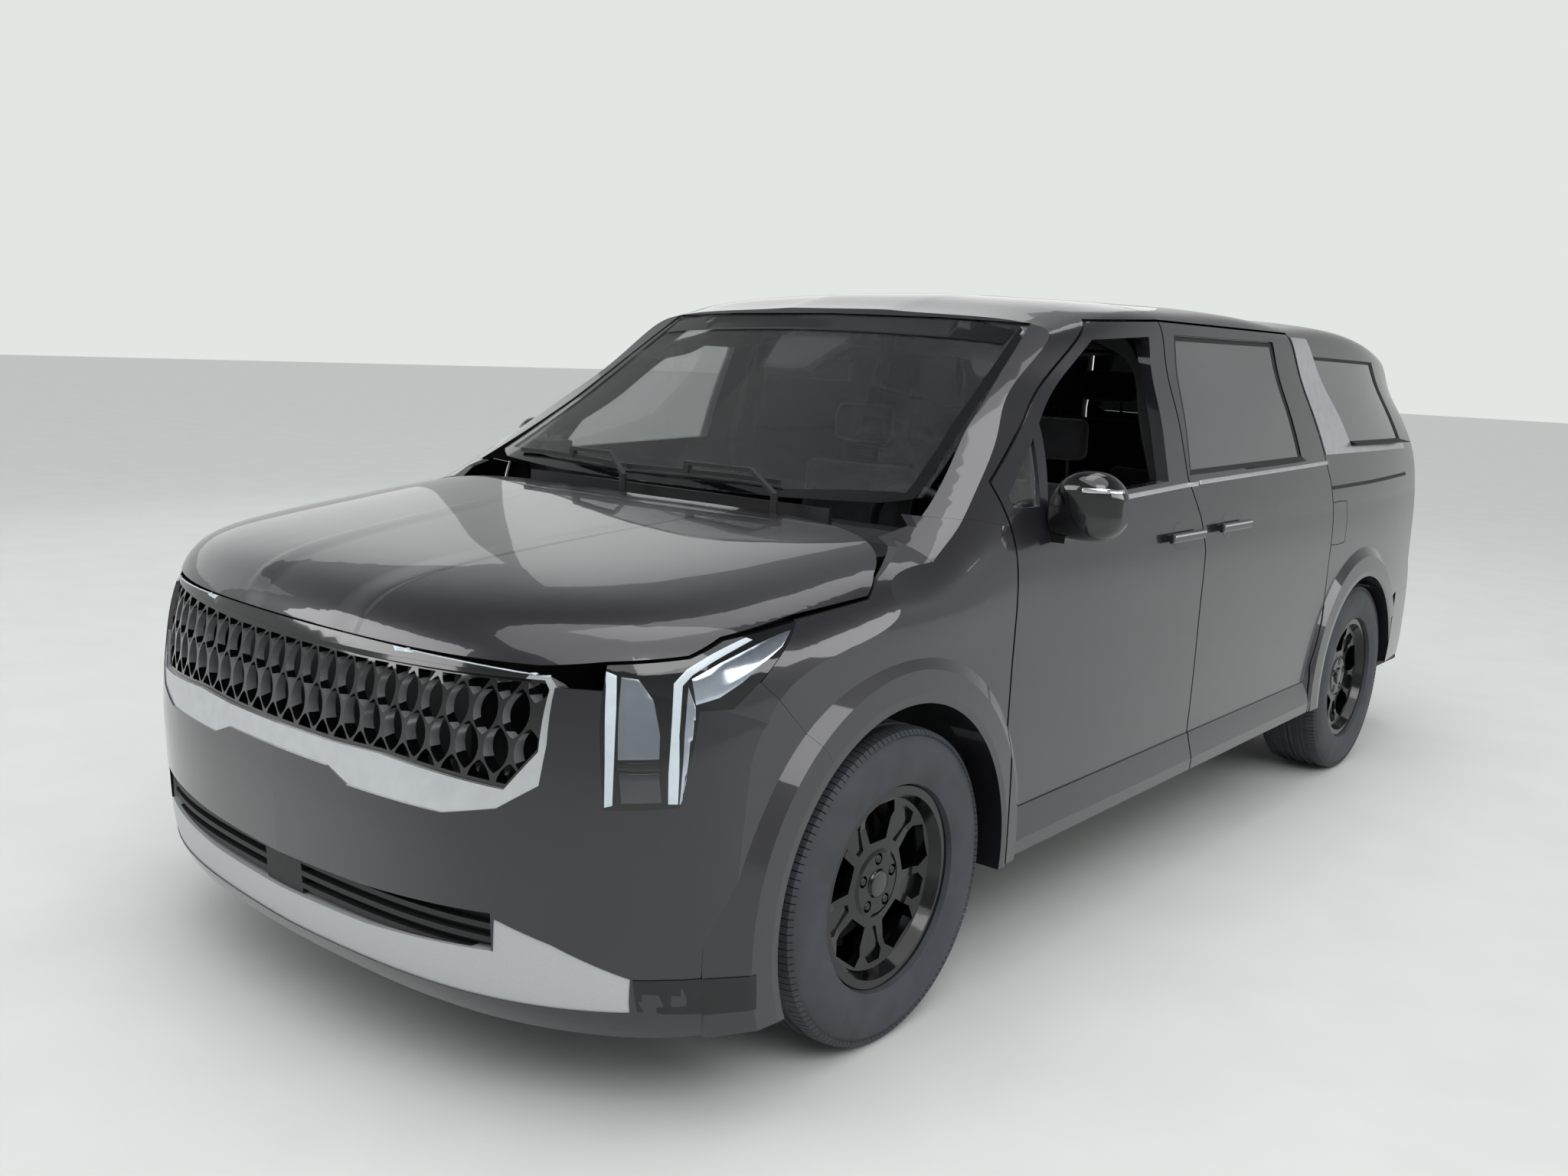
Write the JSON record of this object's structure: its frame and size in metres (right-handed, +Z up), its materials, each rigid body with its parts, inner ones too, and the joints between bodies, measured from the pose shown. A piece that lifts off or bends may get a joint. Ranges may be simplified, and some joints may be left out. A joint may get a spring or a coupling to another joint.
{
  "type": "minivan",
  "caption": "Sliding-door family van with swinging front doors, bonnet and tailgate, steered front wheels and open driver's window.",
  "frame": {"origin": "on the floor under the middle of the body's box", "axes": "+Z up, -Y to the front, +X to the vehicle's left"},
  "size_m": [2.248, 5.1579, 1.7526],
  "materials": {
    "black_trim": "gloss black",
    "cabin_plastic": "grained",
    "chassis": "satin black",
    "engine": "cast",
    "hub": "cast",
    "lamp_lens": "clear lens over dark housing",
    "paint": "graphite metallic clear coat",
    "red_lens": "red lens",
    "satin_trim": "satin silver",
    "seat_fabric": "woven and padded",
    "side_window": "tinted glass",
    "steel": "plain",
    "structure": "primer and body colour inside",
    "tank": "moulded",
    "tyre": "moulded rubber",
    "wheel": "gloss black alloy"
  },
  "bodies": {
    "body": {"body_sides": "paint", "side_frames": "structure", "roof_panel": "paint", "floor_pan": "structure", "bulkhead": "structure", "front_structure": "structure", "fenders": "paint", "front_bumper": "paint", "rear_bumper": "paint", "grille": "black_trim", "grille_surround": "satin_trim", "lower_grille": "black_trim", "skid_garnish": "satin_trim", "light_bar": "lamp_lens", "headlamps": "lamp_lens", "windscreen": "side_window", "sliding_doors": "paint", "side_glass": "side_window", "dashboard": "cabin_plastic", "front_seats": "seat_fabric", "second_seats": "seat_fabric", "third_seats": "seat_fabric", "front_subframe": "chassis", "rear_axle": "chassis", "engine_block": "engine", "fuel_tank": "tank", "exhaust": "steel", "radiator": "engine", "tail_lamps": "red_lens", "wipers": "black_trim", "pillar_trim": "satin_trim"},
    "front_door_left": {"front_door_left": "paint", "door_glass_left": "side_window", "mirror_left": "black_trim"},
    "front_door_right": {"front_door_right": "paint", "door_glass_right": "side_window", "mirror_right": "black_trim"},
    "bonnet": {"bonnet": "paint"},
    "hatch": {"hatch": "paint", "hatch_glass": "side_window", "hatch_lamp": "red_lens"},
    "hub_left": {"knuckle_left": "hub"},
    "hub_right": {"knuckle_right": "hub"},
    "wheel_front_left": {"tyre_front_left": "tyre", "rim_front_left": "wheel"},
    "wheel_front_right": {"tyre_front_right": "tyre", "rim_front_right": "wheel"},
    "wheel_rear_left": {"tyre_rear_left": "tyre", "rim_rear_left": "wheel"},
    "wheel_rear_right": {"tyre_rear_right": "tyre", "rim_rear_right": "wheel"},
    "steering_wheel": {"steering_wheel": "cabin_plastic"}
  },
  "joints": [
    {"name": "front_door_left_hinge", "type": "hinge", "parent": "body", "child": "front_door_left", "pos_m": [0.95, -1.1125, 0.745], "axis": [0, 0, -1], "range_deg": [0, 65]},
    {"name": "front_door_right_hinge", "type": "hinge", "parent": "body", "child": "front_door_right", "pos_m": [-0.95, -1.1125, 0.745], "axis": [0, 0, 1], "range_deg": [0, 65]},
    {"name": "bonnet_hinge", "type": "hinge", "parent": "body", "child": "bonnet", "pos_m": [0, -1.5305, 1.108], "axis": [-1, 0, 0], "range_deg": [0, 50]},
    {"name": "hatch_hinge", "type": "hinge", "parent": "body", "child": "hatch", "pos_m": [0, 2.0335, 1.628], "axis": [1, 0, 0], "range_deg": [0, 78]},
    {"name": "steer_left", "type": "hinge", "parent": "body", "child": "hub_left", "pos_m": [0.75, -1.6425, 0.365], "axis": [-0.2079, 0, 0.9781], "range_deg": [-33, 33]},
    {"name": "steer_right", "type": "hinge", "parent": "body", "child": "hub_right", "pos_m": [-0.75, -1.6425, 0.365], "axis": [0.2079, 0, 0.9781], "range_deg": [-33, 33]},
    {"name": "wheel_front_left_spin", "type": "hinge", "parent": "hub_left", "child": "wheel_front_left", "pos_m": [0.86, -1.6425, 0.365], "axis": [1, 0, 0], "continuous": true},
    {"name": "wheel_front_right_spin", "type": "hinge", "parent": "hub_right", "child": "wheel_front_right", "pos_m": [-0.86, -1.6425, 0.365], "axis": [1, 0, 0], "continuous": true},
    {"name": "wheel_rear_left_spin", "type": "hinge", "parent": "body", "child": "wheel_rear_left", "pos_m": [0.86, 1.4475, 0.365], "axis": [1, 0, 0], "continuous": true},
    {"name": "wheel_rear_right_spin", "type": "hinge", "parent": "body", "child": "wheel_rear_right", "pos_m": [-0.86, 1.4475, 0.365], "axis": [1, 0, 0], "continuous": true},
    {"name": "steering_wheel_turn", "type": "hinge", "parent": "body", "child": "steering_wheel", "pos_m": [0.372, -0.7075, 1], "axis": [0, 0.9063, 0.4226], "range_deg": [-495, 495]}
  ],
  "couplings": [
    {"joint": "steer_right", "follows": "steer_left", "ratio": 1},
    {"joint": "steering_wheel_turn", "follows": "steer_left", "ratio": 15}
  ]
}
